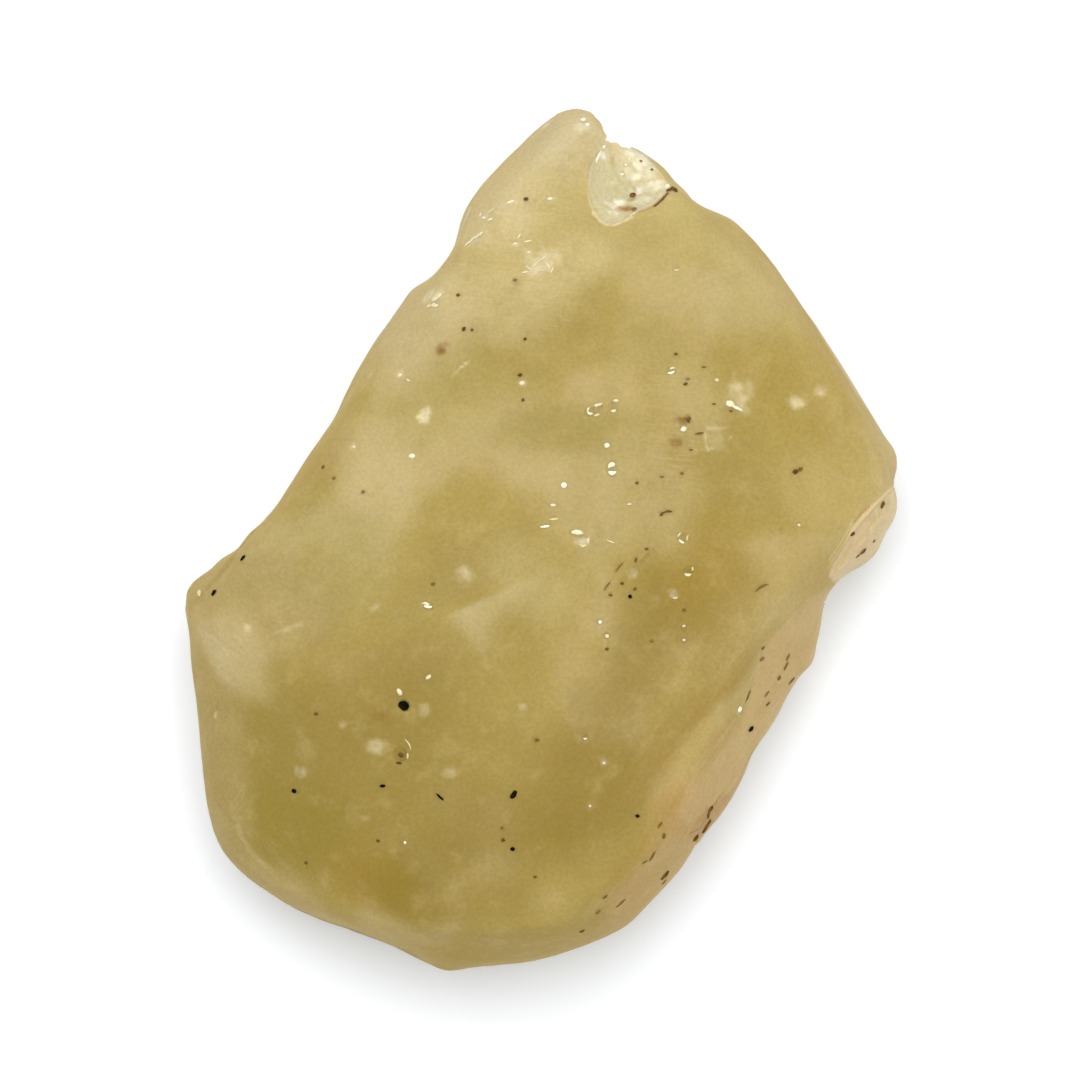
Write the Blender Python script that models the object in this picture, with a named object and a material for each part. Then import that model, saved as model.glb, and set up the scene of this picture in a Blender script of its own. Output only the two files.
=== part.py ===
"""Raw Libyan desert glass: one small lump of pale yellow natural glass, lying on its flattest face.

Run with: blender --background --python part.py
Metres, +Z up. The origin is the middle of the stone's footprint on the table.
+Y runs along the lump to its pointed horn.

The lump starts as an icosphere, and every vertex is pushed out along its own ray until it meets the
stone's skin. The skin is where `outside` is zero: the softened meeting of the plan outline, the broad
facets above, the undercuts below and the flat resting face, less the fresh chip near the horn.
"""

import math

import bpy
import numpy as np
from mathutils import Vector, noise

# Driving dimensions, in millimetres
MM = 0.001
LENGTH = 36.0
WIDTH = 29.8
REST_Z = 0.0
HEART = (0.0, -1.5, 6.8)  # the point that the rays leave from
RIM_Z = 6.0  # mean height of the widest outline
RIM_SWAY = 0.9  # how far the rim rises and dips on its way round
RIM_PHASE = -70  # degrees; this puts both ends high and the sides low
FINE_REACH = 2.6  # the outline's small notches fade this far above and below the rim
BROAD_WINDOW = 13  # outline samples averaged for the smoother wall beyond that
WALL_BOW = 1.0  # how far the wall draws in, one WALL_REACH above or below the rim
WALL_REACH = 6.0
EDGE_WEAR = 0.3  # softness of the ridges where facets meet
WAVE_SIZE = 4.2  # the faint swell that wind and sand left
WAVE_DEPTH = 0.11
WAVE_OCTAVES = 3
WAVE_FADE = 1.5  # the swell dies out over this height above the resting face
SAFE_STEP = 0.7  # share of the clear distance that one step of the search takes
SEARCH_STEPS = 44
SPHERE_DIVISIONS = 6
TRIANGLE_TARGET = 9000
SHARP_ANGLE = 50  # degrees

# The plan outline at its widest, clockwise from the horn's tip
OUTLINE = [
    (1.0, 18.0), (1.8, 17.95), (2.35, 17.7), (2.65, 17.3), (2.8, 16.8), (3.15, 16.4), (3.9, 16.3),
    (4.5, 16.0), (5.2, 15.35), (5.8, 14.7), (6.45, 13.9), (7.4, 13.6), (8.4, 13.35), (9.5, 12.5),
    (10.45, 11.1), (11.35, 9.45), (12.4, 7.75), (13.4, 6.1), (14.2, 4.75), (14.8, 3.7), (14.9, 2.95),
    (14.7, 2.35), (14.9, 1.7), (14.85, 1.0), (14.5, 0.1), (13.7, -0.9), (12.7, -1.55), (12.0, -2.0),
    (11.85, -2.7), (11.7, -3.9), (11.4, -5.0), (10.9, -5.7), (10.2, -6.7), (9.3, -8.2), (8.45, -9.9),
    (7.8, -11.2), (7.0, -12.2), (6.4, -12.9), (5.9, -13.7), (4.7, -15.0), (3.9, -15.9), (2.9, -16.5),
    (1.2, -17.1), (-0.6, -17.6), (-2.5, -17.7), (-3.4, -18.0), (-4.0, -18.0), (-4.6, -17.6),
    (-6.2, -16.7), (-8.2, -16.15), (-9.9, -15.6), (-11.2, -14.8), (-12.6, -13.95), (-13.45, -12.9),
    (-13.85, -11.5), (-14.05, -9.5), (-14.25, -7.2), (-14.4, -5.3), (-14.5, -4.2), (-15.0, -2.9),
    (-14.9, -2.1), (-13.5, -1.1), (-12.2, -0.2), (-11.05, 1.2), (-9.75, 3.2), (-8.6, 4.8), (-8.05, 6.1),
    (-6.95, 8.0), (-5.8, 9.7), (-5.2, 10.5), (-4.5, 10.85), (-4.0, 11.4), (-3.5, 12.1), (-3.35, 13.2),
    (-3.05, 14.0), (-2.35, 14.9), (-1.25, 16.0), (0.0, 17.25),
]
SPAN_STEPS = 3  # points per outline span once it is smoothed

# Facets: compass direction and tilt of the outward normal in degrees (0 tilt faces up, 180 down),
# a point on the facet, and its bow: the radius of a hollow, minus for a swell, 0 for flat
FACETS = {
    "broad face": (80, 9, (0.0, 5.0, 12.1), 0),
    "upper left face": (147, 21, (-7.7, 5.0, 9.8), 90),
    "horn face": (96, 21, (0.0, 11.3, 11.2), 60),
    "upper right face": (30, 14, (9.6, 6.4, 10.7), -120),
    "pool face": (230, 6, (-6.6, -9.4, 12.3), 34),
    "left corner face": (200, 32, (-12.4, -5.0, 10.6), 0),
    "lower right face": (-50, 13, (4.0, -9.0, 13.0), 90),
    "upper left flank": (145, 68, (-8.0, 5.6, 9.2), 0),
    "horn side": (132, 60, (-2.9, 13.6, 8.8), 0),
    "right band": (-34, 65, (9.8, -5.2, 11.0), 60),
    "lobe band": (-42, 60, (12.9, 0.1, 9.9), 26),
    "lower right band": (-50, 65, (5.7, -12.5, 11.0), 50),
    "bottom band": (-88, 66, (-0.4, -16.8, 10.2), 0),
    "bottom left band": (243, 72, (-7.9, -15.5, 10.8), 0),
    "left band": (187, 64, (-12.5, -8.0, 11.2), 0),
    "left shoulder": (212, 64, (-12.2, -12.0, 10.8), 0),
    "upper right band": (35, 70, (11.5, 8.1, 9.2), 0),
    "shoulder band": (46, 66, (8.2, 12.5, 9.0), 0),
    "right skirt": (-32, 118, (10.6, -6.0, 3.4), 0),
    "right undercut": (-40, 144, (5.0, -5.2, 0.0), 0),
    "lobe undercut": (-10, 145, (7.6, 0.6, 0.0), 0),
    "foot undercut": (-80, 134, (0.4, -11.4, 0.0), 0),
    "pool undercut": (240, 142, (-4.6, -9.4, 0.0), 0),
    "left skirt": (184, 116, (-14.0, -7.0, 3.2), 0),
    "left undercut": (176, 151, (-6.0, -4.2, 0.0), 0),
    "flank undercut": (140, 136, (-4.8, 3.4, 0.0), 0),
    "horn undercut": (92, 152, (0.0, 5.6, 0.0), 0),
    "shoulder undercut": (44, 147, (4.4, 4.2, 0.0), 0),
    "shoulder skirt": (38, 112, (11.4, 8.4, 3.6), 0),
}

# Shallow bites out of the facets, each an ellipsoid: centre, radii, and turn about the vertical in degrees
WORN_BITES = {
    "long scoop": ((5.6, -4.4, 26.2), (28.0, 15.5, 14.0), 66),
    "shoulder hollow": ((10.6, 3.4, -9.4), (13.0, 9.0, 12.0), 35),
    "heel hollow": ((-7.4, -12.8, -5.2), (9.0, 6.6, 9.0), -25),
    "belly hollow": ((-10.6, 1.6, -7.0), (7.0, 10.5, 9.4), 35),
}
# The fresh shell-shaped chip beside the horn, cut with a crisp rim
CHIP = ((4.4, 16.3, 12.25), (3.9, 3.2, 3.5), 45)


def clear_scene():
    for old in list(bpy.data.objects):
        bpy.data.objects.remove(old)


def smooth_outline(points):
    """The outline as a closed Catmull-Rom curve, sampled SPAN_STEPS times a span."""
    corners = np.array(points)
    before, after = np.roll(corners, 1, axis=0), np.roll(corners, -1, axis=0)
    beyond = np.roll(corners, -2, axis=0)
    samples = []
    for t in np.arange(SPAN_STEPS) / SPAN_STEPS:
        samples.append(
            0.5 * (2 * corners + (after - before) * t
                   + (2 * before - 5 * corners + 4 * after - beyond) * t**2
                   + (3 * corners - before - 3 * after + beyond) * t**3)
        )
    return np.stack(samples, axis=1).reshape(-1, 2)


def broad_outline(plan):
    """The same outline without its small notches, as a running mean with fewer points."""
    half = BROAD_WINDOW // 2
    return np.mean([np.roll(plan, shift, axis=0) for shift in range(-half, half + 1)], axis=0)[::SPAN_STEPS]


FINE_PLAN = smooth_outline(OUTLINE)
BROAD_PLAN = broad_outline(FINE_PLAN)


def past_outline(plan, x, y):
    """Distance in plan to an outline: plus outside it, minus inside."""
    nearest = np.full(x.shape, np.inf)
    inside = np.zeros(x.shape, bool)
    for (ax, ay), (bx, by) in zip(plan, np.roll(plan, -1, axis=0)):
        run_x, run_y = bx - ax, by - ay
        along = np.clip(((x - ax) * run_x + (y - ay) * run_y) / (run_x**2 + run_y**2), 0, 1)
        nearest = np.minimum(nearest, (x - ax - along * run_x) ** 2 + (y - ay - along * run_y) ** 2)
        if ay != by:
            crosses = ((ay > y) != (by > y)) & (x < ax + (y - ay) * run_x / run_y)
            inside ^= crosses
    return np.where(inside, -1, 1) * np.sqrt(nearest)


def past_wall(x, y, z):
    """The outline carried up and down: fine at the rim, and smoother and drawn in away from it."""
    bearing = np.arctan2(y - HEART[1], x - HEART[0])
    off_rim = z - RIM_Z - RIM_SWAY * np.sin(2 * bearing + math.radians(RIM_PHASE))
    fine = np.clip(1 - np.abs(off_rim) / FINE_REACH, 0, 1)
    plan = fine * past_outline(FINE_PLAN, x, y) + (1 - fine) * past_outline(BROAD_PLAN, x, y)
    return plan + WALL_BOW * (off_rim / WALL_REACH) ** 2


def past_facet(points, facet):
    """Distance past one facet, which is a plane, a hollow or a swell through the facet's point."""
    compass, tilt, on_facet, bow = facet
    compass, tilt = math.radians(compass), math.radians(tilt)
    normal = np.array([math.sin(tilt) * math.cos(compass), math.sin(tilt) * math.sin(compass), math.cos(tilt)])
    offset = points - np.array(on_facet)
    if bow == 0:
        return offset @ normal
    to_centre = np.linalg.norm(offset - normal * bow, axis=1)
    return bow - to_centre if bow > 0 else to_centre + bow


def inside_bite(points, bite):
    """Depth inside an ellipsoid, minus outside it."""
    centre, radii, turn = bite
    turn = math.radians(turn)
    dx, dy, dz = (points - np.array(centre)).T
    across = (dx * math.cos(turn) + dy * math.sin(turn)) / radii[0]
    over = (dy * math.cos(turn) - dx * math.sin(turn)) / radii[1]
    return (1 - np.sqrt(across**2 + over**2 + (dz / radii[2]) ** 2)) * min(radii)


def worn_max(layers):
    """The largest of several distances, with the corner between them rounded off."""
    layers = np.stack(layers)
    peak = layers.max(axis=0)
    return peak + EDGE_WEAR * np.log(np.exp((layers - peak) / EDGE_WEAR).sum(axis=0))


def outside(points):
    """Above zero outside the stone and below zero in it, by about the distance to the skin."""
    layers = [past_wall(*points.T)]
    layers += [past_facet(points, facet) for facet in FACETS.values()]
    layers += [inside_bite(points, bite) for bite in WORN_BITES.values()]
    return np.maximum(np.maximum(worn_max(layers), inside_bite(points, CHIP)), REST_Z - points[:, 2])


def skin_along(rays):
    """Where each ray from the heart meets the skin, found by steps that never overshoot it."""
    reach = np.zeros(len(rays))
    for _ in range(SEARCH_STEPS):
        reach -= SAFE_STEP * outside(HEART + rays * reach[:, None])
    return HEART + rays * reach[:, None]


def add_swell(skin, rays):
    """A faint waviness all over, fading out at the resting face."""
    waves = np.array([noise.fractal(Vector(point) / WAVE_SIZE, 1.0, 2.0, WAVE_OCTAVES) for point in skin])
    above_rest = np.clip((skin[:, 2] - REST_Z) / WAVE_FADE, 0, 1)
    return skin + rays * (waves * WAVE_DEPTH * above_rest)[:, None]


def fit_to_size(skin):
    """Centred in plan, and exactly LENGTH by WIDTH."""
    low, high = skin.min(axis=0), skin.max(axis=0)
    fitted = skin.copy()
    for axis, size in ((0, WIDTH), (1, LENGTH)):
        fitted[:, axis] = (skin[:, axis] - (low[axis] + high[axis]) / 2) * size / (high[axis] - low[axis])
    return fitted


def glass_material():
    """Milky, sand-frosted yellow glass."""
    material = bpy.data.materials.new("desert_glass")
    material.use_nodes = True
    shader = material.node_tree.nodes["Principled BSDF"]
    shader.inputs["Base Color"].default_value = (0.50, 0.38, 0.13, 1.0)
    shader.inputs["Roughness"].default_value = 0.42
    shader.inputs["Metallic"].default_value = 0.0
    shader.inputs["IOR"].default_value = 1.46
    shader.inputs["Transmission Weight"].default_value = 0.35
    return material


def make_stone():
    bpy.ops.mesh.primitive_ico_sphere_add(subdivisions=SPHERE_DIVISIONS, radius=1.0)
    stone = bpy.context.object
    stone.name = stone.data.name = "desert_glass"
    mesh = stone.data
    rays = np.array([vertex.co for vertex in mesh.vertices]) * (WIDTH, LENGTH, 2 * HEART[2])
    rays /= np.linalg.norm(rays, axis=1)[:, None]
    skin = fit_to_size(add_swell(skin_along(rays), rays))
    mesh.vertices.foreach_set("co", (skin * MM).astype(np.float32).ravel())
    mesh.update()
    thin_out = stone.modifiers.new("thin_out", "DECIMATE")
    thin_out.ratio = TRIANGLE_TARGET / len(mesh.polygons)
    thin_out.use_collapse_triangulate = True
    mesh.materials.append(glass_material())
    mesh.shade_smooth()
    mesh.set_sharp_from_angle(angle=math.radians(SHARP_ANGLE))
    return stone


def main():
    clear_scene()
    collection = bpy.data.collections.new("raw_desert_glass")
    bpy.context.scene.collection.children.link(collection)
    stone = make_stone()
    for old_home in list(stone.users_collection):
        old_home.objects.unlink(stone)
    collection.objects.link(stone)


main()
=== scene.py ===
import math
import random

import bpy
import numpy as np
from mathutils import Matrix, Vector, kdtree, noise


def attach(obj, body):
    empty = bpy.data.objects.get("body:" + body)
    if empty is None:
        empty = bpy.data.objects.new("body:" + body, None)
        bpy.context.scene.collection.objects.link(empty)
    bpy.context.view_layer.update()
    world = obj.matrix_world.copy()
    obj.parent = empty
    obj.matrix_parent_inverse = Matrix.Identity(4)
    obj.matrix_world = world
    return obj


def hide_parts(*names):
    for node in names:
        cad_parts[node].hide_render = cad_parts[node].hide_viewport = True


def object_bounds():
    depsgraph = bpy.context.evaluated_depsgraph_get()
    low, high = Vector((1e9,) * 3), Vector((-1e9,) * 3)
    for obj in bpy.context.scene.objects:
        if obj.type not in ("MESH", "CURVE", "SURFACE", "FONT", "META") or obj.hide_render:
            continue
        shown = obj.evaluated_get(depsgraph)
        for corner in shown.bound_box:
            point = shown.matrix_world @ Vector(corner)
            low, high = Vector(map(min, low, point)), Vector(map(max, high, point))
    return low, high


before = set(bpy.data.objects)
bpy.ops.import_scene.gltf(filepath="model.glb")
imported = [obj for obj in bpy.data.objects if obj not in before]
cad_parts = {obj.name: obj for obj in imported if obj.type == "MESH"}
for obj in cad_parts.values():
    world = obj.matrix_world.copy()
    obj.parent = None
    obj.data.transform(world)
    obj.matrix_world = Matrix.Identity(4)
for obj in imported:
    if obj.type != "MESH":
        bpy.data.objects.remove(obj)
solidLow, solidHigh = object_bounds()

mm = 0.001
heart = Vector((0.0, -1.5, 6.8)) * mm  # a point well inside the stone

# The photograph's frame, whose pixels the marks below are read in
photo = {
    "size": 1080,
    "middle": 540,
    "mmPerPixel": 0.04176,
    "rimHeight": 6.0,  # the widest outline, where that scale is true
    "lens": 200,
    "sensor": 36,
}
cameraHeight = (photo["size"] * photo["mmPerPixel"] * photo["lens"] / photo["sensor"] + photo["rimHeight"]) * mm


def fromPhoto(column, row, height=photo["rimHeight"]):
    middle, scale = photo["middle"], photo["mmPerPixel"]
    return Vector(((column - middle) * scale, (middle - row) * scale, height)) * mm


def alongSight(column, row, height):
    # the point at this height, in mm, on the line of sight through a pixel
    nearer = (cameraHeight - height * mm) / (cameraHeight - photo["rimHeight"] * mm)
    flat = fromPhoto(column, row, 0.0) * nearer
    return Vector((flat.x, flat.y, height * mm))


def toPhoto(co):
    # the pixel of the photograph that shows a point
    spread = (cameraHeight / mm - photo["rimHeight"]) / (cameraHeight - co.z) / photo["mmPerPixel"]
    return photo["middle"] + co.x * spread, photo["middle"] - co.y * spread


def selectOnly(*pieces):
    bpy.ops.object.select_all(action="DESELECT")
    for piece in pieces:
        piece.select_set(True)
    bpy.context.view_layer.objects.active = pieces[0]


def applyAll(piece):
    selectOnly(piece)
    for modifier in list(piece.modifiers):
        bpy.ops.object.modifier_apply(modifier=modifier.name)


def removePiece(piece):
    bpy.data.objects.remove(piece)


def skinBelow(stone, column, row):
    # the place and normal of the skin that a pixel of the photograph shows
    eye = Vector((0, 0, cameraHeight))
    hit, place, normal, _ = stone.ray_cast(eye, (fromPhoto(column, row) - eye).normalized())
    return (place, normal) if hit else (None, None)


def facing(normal, turn):
    # turns a lump's flat side to the skin, and its length by an angle seen from above
    along = Vector((math.cos(math.radians(turn)), math.sin(math.radians(turn)), 0.0))
    if abs(along.dot(normal)) > 0.9:
        along = Vector((0.0, 0.0, 1.0))
    across = normal.cross(along).normalized()
    return Matrix((across.cross(normal), across, normal)).transposed()


def fromSrgb(red, green, blue):
    def linear(value):
        value /= 255
        return value / 12.92 if value <= 0.04045 else ((value + 0.055) / 1.055) ** 2.4
    return (linear(red), linear(green), linear(blue), 1.0)


# The stone's skin

stoneShape = {
    "voxel": 0.24,
    "smoothing": 3,
    "swellSize": 1.6,
    "swellDepth": 0.07,
    "creaseAngle": 32,
}

# The fresh chip: its outline in pixels, depths in mm, and where the blow fell
freshChip = {
    "outline": [
        (604, 144), (594, 155), (588, 166), (586, 184), (589, 201), (597, 216), (609, 226), (622, 222), (633, 213),
        (645, 209), (656, 204), (669, 191), (664, 178), (655, 165), (645, 154), (632, 147), (618, 143),
    ],
    "rimDepth": 0.10,
    "bowlDepth": 0.24,
    "rippleDepth": 0.010,
    "rippleGap": 7.5,  # pixels
    "blow": (680, 140),
}
# Blocky bites through the edge: middle and half sizes in pixels, turn, fresh or worn
outlineBites = [
    ((622, 133), (13, 12), -20, True), ((614, 131), (8, 9.5), 25, True), ((646, 138), (10, 8), -22, True),
    ((602, 114), (9.5, 6), -39, True), ((585, 105), (8.5, 5), -15, True), ((668, 149), (12, 6), -38, True),
    ((840, 603), (12, 10), 36, False), ((905, 484), (10, 6), 44, False), ((703, 851), (8, 9), 42, False),
    ((731, 826), (6, 8), 28, False),
    ((823, 668), (8, 7), 36, False), ((236, 884), (9, 7), -36, False),
]
# Places where the worn outline stands a little further out again: pixel, reach in pixels and how far in mm
outlineSwells = [
    ((196, 584), 24, 0.22), ((222, 562), 30, 0.20), ((252, 540), 24, 0.10), ((186, 660), 50, 0.06),
    ((898, 458), 28, 0.14), ((898, 510), 30, 0.12), ((880, 566), 36, 0.20), ((770, 724), 40, 0.08),
    ((742, 784), 34, 0.08), ((812, 662), 20, 0.10), ((662, 168), 24, 0.08), ((684, 192), 20, 0.08),
]
# Ledges: a line in pixels, whose right-hand side drops sharply and rises again; depth and reach in mm
ledges = {
    "lobe": ([(897, 484), (874, 508), (852, 533), (836, 556), (822, 580)], 0.30, 1.1),
    "right band": ([(818, 584), (792, 612), (762, 650), (746, 700), (722, 746), (690, 792)], 0.05, 0.8),
    "band foot": ([(724, 786), (712, 806), (690, 822), (676, 840)], 0.10, 0.5),
    "left band": ([(262, 872), (238, 836), (222, 790), (214, 730), (222, 690)], 0.05, 0.7),
}
# Shallow flake scars, which dip sharply along one straight side and fade towards the far corner:
# both ends of that side and the far corner in pixels, depth in mm, and how pale the scar's face is painted, a painted
# highlight where light falls on it
flakeScars = {
    "wedge": ((438, 618), (562, 562), (484, 662), 0.08, 0.26),
    "left crease": ((188, 618), (246, 656), (230, 700), 0.04, 0.1),
    "horn side": ((460, 250), (474, 208), (490, 238), 0.06, 0.06),
    "right crescent": ((660, 540), (596, 604), (672, 628), 0.10, 0.0),
    "chip fold": ((610, 148), (630, 212), (662, 172), 0.045, 0.0),
    "left strip": ((208, 792), (266, 872), (212, 850), 0.03, 0.05),
    "olive facet": ((560, 560), (648, 505), (612, 600), 0.06, 0.08),
}


def copyOfNode(nodeName, pieceName):
    piece = bpy.data.objects.new(pieceName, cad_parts[nodeName].data.copy())
    bpy.context.scene.collection.objects.link(piece)
    selectOnly(piece)
    bpy.ops.object.mode_set(mode="EDIT")
    bpy.ops.mesh.select_all(action="SELECT")
    bpy.ops.mesh.remove_doubles(threshold=0.005 * mm)
    bpy.ops.object.mode_set(mode="OBJECT")
    piece.data.materials.clear()
    return piece


wornFaces, brokenFaces = bpy.data.materials.new("worn"), bpy.data.materials.new("broken")


def makeSkin():
    stone = copyOfNode("desert_glass", "glass_stone")
    stone.data.materials.append(wornFaces)
    stone.data.materials.append(brokenFaces)
    fine = stone.modifiers.new("fine skin", "REMESH")
    fine.mode = "VOXEL"
    fine.voxel_size = stoneShape["voxel"] * mm
    smooth = stone.modifiers.new("worn", "SMOOTH")
    smooth.factor = 0.5
    smooth.iterations = stoneShape["smoothing"]
    clouds = bpy.data.textures.new("swell", "CLOUDS")
    clouds.noise_scale = stoneShape["swellSize"] * mm
    clouds.noise_depth = 2
    swell = stone.modifiers.new("swell", "DISPLACE")
    swell.texture = clouds
    swell.texture_coords = "LOCAL"
    swell.mid_level = 1.0  # inwards only
    swell.strength = stoneShape["swellDepth"] * mm
    applyAll(stone)
    return stone


def cutAway(stone, cutter, fresh):
    cutter.data.materials.append(brokenFaces if fresh else wornFaces)
    cut = stone.modifiers.new("cut", "BOOLEAN")
    cut.operation = "DIFFERENCE"
    cut.solver = "EXACT"
    cut.object = cutter
    cut.material_mode = "TRANSFER"
    applyAll(stone)
    removePiece(cutter)


def biteOutline(stone):
    for (column, row), (halfLength, halfWidth), turn, fresh in outlineBites:
        bpy.ops.object.select_all(action="DESELECT")
        bpy.ops.mesh.primitive_cube_add(size=2.0)
        bpy.ops.object.mode_set(mode="EDIT")
        bpy.ops.mesh.subdivide(number_cuts=9)
        bpy.ops.object.mode_set(mode="OBJECT")
        cutter = bpy.context.object
        turned = Matrix.Rotation(math.radians(turn), 3, "Z")
        for vertex in cutter.data.vertices:
            uneven = 1 + 0.2 * noise.noise(vertex.co * 1.6 + Vector((column, row, 0)))
            offset = turned @ Vector((vertex.co.x * halfLength, vertex.co.y * halfWidth, 0)) * uneven
            vertex.co = alongSight(column + offset.x, row - offset.y, 7 + 8 * vertex.co.z)
        cutAway(stone, cutter, fresh)
    # the cuts leave many-sided faces, which wouldn't subdivide cleanly
    selectOnly(stone)
    bpy.ops.object.mode_set(mode="EDIT")
    bpy.ops.mesh.select_all(action="SELECT")
    bpy.ops.mesh.remove_doubles(threshold=0.004 * mm)
    bpy.ops.mesh.quads_convert_to_tris(ngon_method="BEAUTY")
    bpy.ops.object.mode_set(mode="OBJECT")


def keepInside(vertex):
    # nothing stands out past the solid's own box
    for axis in range(3):
        vertex.co[axis] = min(max(vertex.co[axis], solidLow[axis]), solidHigh[axis])


def swellOutline(stone, points):
    # pushed out sideways only
    for (column, row), reach, push in outlineSwells:
        rim = fromPhoto(column, row)
        reach *= photo["mmPerPixel"] * mm
        for co, index, _ in points.find_range(rim, reach * 1.6):
            vertex = stone.data.vertices[index]
            away = (co - rim).to_2d().length / reach
            if away < 1:
                flat = Vector((vertex.normal.x, vertex.normal.y, 0))
                vertex.co += flat * push * mm * (1 - away ** 2) ** 2
                keepInside(vertex)


def skinArray(stone):
    # the skin's points in mm, one row each
    co = np.empty(len(stone.data.vertices) * 3)
    stone.data.vertices.foreach_get("co", co)
    return co.reshape(-1, 3) / mm


def pixelsOf(skin):
    # the pixels of the photograph that show these points
    spread = (cameraHeight / mm - photo["rimHeight"]) / (cameraHeight / mm - skin[:, 2]) / photo["mmPerPixel"]
    return np.stack((photo["middle"] + skin[:, 0] * spread, photo["middle"] - skin[:, 1] * spread), axis=1)


def lineDistance(spots, line):
    # how far each pixel or point lies from the nearest stretch of a line
    nearest = np.full(len(spots), 1e9)
    for first, second in zip(line, line[1:]):
        along = np.subtract(second, first).astype(float)
        share = np.clip((spots - first) @ along / max(along @ along, 1e-9), 0, 1)
        nearest = np.minimum(nearest, np.linalg.norm(spots - first - share[:, None] * along, axis=1))
    return nearest


def depthInside(spots, outline):
    # how deep each pixel lies inside a closed outline, or a number below 0 outside it
    inside = np.zeros(len(spots), bool)
    for first, second in zip(outline, outline[1:] + outline[:1]):
        crossed = (first[1] > spots[:, 1]) != (second[1] > spots[:, 1])
        rise = (second[1] - first[1]) or 1e-6
        inside ^= crossed & (spots[:, 0] < first[0] + (spots[:, 1] - first[1]) / rise * (second[0] - first[0]))
    away = lineDistance(spots, outline + outline[:1])
    return np.where(inside, away, -away)


def lineOnSkin(stone, line):
    # a line of pixels dropped on the skin, in mm, so that paint along it stays narrow on the steep flanks
    pixels = [Vector(first).lerp(Vector(second), step / 3) for first, second in zip(line, line[1:]) for step in range(4)]
    places = [skinBelow(stone, *pixel)[0] for pixel in pixels]
    return [np.array(place) / mm for place in places if place]


def sinkChip(stone):
    skin = skinArray(stone)
    spots = pixelsOf(skin)
    depth = np.where(skin[:, 2] > 6, depthInside(spots, freshChip["outline"]), -1)
    fresh = np.clip(depth / 1.5, 0, 1)
    for face in stone.data.polygons:
        if face.material_index == 1:
            fresh[list(face.vertices)] = 1
    _, normal = skinBelow(stone, 628, 186)
    rings = np.linalg.norm(spots - freshChip["blow"], axis=1) / freshChip["rippleGap"]
    sunk = freshChip["rimDepth"] * np.clip(depth / 2, 0, 1) + freshChip["bowlDepth"] * (np.clip(depth, 0, 26) / 26) ** 1.3
    for index in np.flatnonzero(depth > 0):
        vertex = stone.data.vertices[index]
        wave = math.sin(rings[index] * 6.283 + 2 * noise.noise(vertex.co / (0.8 * mm))) * min(1, depth[index] / 6)
        vertex.co -= normal * (sunk[index] + freshChip["rippleDepth"] * wave) * mm
    stone.data.attributes.new("fresh", "FLOAT", "POINT").data.foreach_set("value", fresh)
    stone.data.polygons.foreach_set("material_index", [0] * len(stone.data.polygons))
    stone.data.materials.clear()
    return fresh


def cutLedges(stone, points):
    for line, depth, reach in ledges.values():
        pieces = list(zip(line, line[1:]))
        near = set()
        for first, second in pieces:
            for step in range(6):
                place, _ = skinBelow(stone, *Vector(first).lerp(Vector(second), step / 5))
                near.update(index for _, index, _ in points.find_range(place, reach * mm)) if place else None
        moves = []
        for index in near:
            vertex = stone.data.vertices[index]
            spot, best = Vector(toPhoto(vertex.co)), None
            for number, (first, second) in enumerate(pieces):
                along = Vector(second) - Vector(first)
                share = (spot - Vector(first)).dot(along) / along.length_squared
                offset = spot - Vector(first) - along * max(0, min(1, share))
                side = along.x * offset.y - along.y * offset.x
                if best is None or offset.length < best[0]:
                    best = (offset.length, side, (number + share) / len(pieces))
            away, side, way = best
            if side < 0 and 0 < way < 1 and vertex.normal.z > -0.2:
                fall = max(0, 1 - away * photo["mmPerPixel"] / reach) ** 1.6 * min(1, away / 1.2)
                moves.append((index, vertex.normal * depth * fall * min(1, way * 5, (1 - way) * 5) * mm))
        for index, move in moves:
            stone.data.vertices[index].co -= move


def refineAround(stone, spots):
    # more faces close to the small marks, so that pits and painted spots stay crisp
    centres = kdtree.KDTree(len(stone.data.polygons))
    for face in stone.data.polygons:
        centres.insert(face.center, face.index)
    centres.balance()
    close = [False] * len(stone.data.polygons)
    for place, reach in spots:
        for _, index, _ in centres.find_range(place, reach + 0.1 * mm):
            close[index] = True
    bpy.context.tool_settings.mesh_select_mode = (False, False, True)
    selectOnly(stone)
    bpy.ops.object.mode_set(mode="EDIT")
    bpy.ops.mesh.select_all(action="DESELECT")
    bpy.ops.object.mode_set(mode="OBJECT")
    stone.data.polygons.foreach_set("select", close)
    bpy.ops.object.mode_set(mode="EDIT")
    bpy.ops.mesh.subdivide(number_cuts=1)
    bpy.ops.object.mode_set(mode="OBJECT")


def skinPoints(stone):
    points = kdtree.KDTree(len(stone.data.vertices))
    for vertex in stone.data.vertices:
        points.insert(vertex.co, vertex.index)
    points.balance()
    return points


def settle(stone, marks):
    # pixel marks dropped on the skin: place, normal, half length and half width, turn, and the last value
    settled = []
    for column, row, length, width, turn, *last in marks:
        place, normal = skinBelow(stone, column, row)
        if place:
            halves = [pixels / 2 * photo["mmPerPixel"] * mm for pixels in (length, width)]
            settled.append((place, normal, *halves, turn, last[0] if last else 0.0))
    return settled


# Marks on the sides and the underside, which the photograph hides: how many, half size in mm, last value, seed
unseenMarks = {
    "pits": (60, (0.10, 0.34), 0.0, 3),
    "pale": (46, (0.2, 1.0), 0.45, 5),
    "stain": (36, (0.15, 0.9), 0.4, 7),
    "black": (20, (0.06, 0.17), 0.0, 11),
    "umber": (48, (0.05, 0.13), 0.0, 13),
    "brown": (56, (0.05, 0.17), 0.0, 17),
    "glints": (30, (0.05, 0.13), 0.0, 19),
}
# Worn scoops, and flake scars with a sharper rim, also there: mm
sideScoops = {"count": 48, "radius": (0.9, 3.2), "depth": 0.15, "sharpShare": 0.5, "seed": 4, "top": 5.6}


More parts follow.
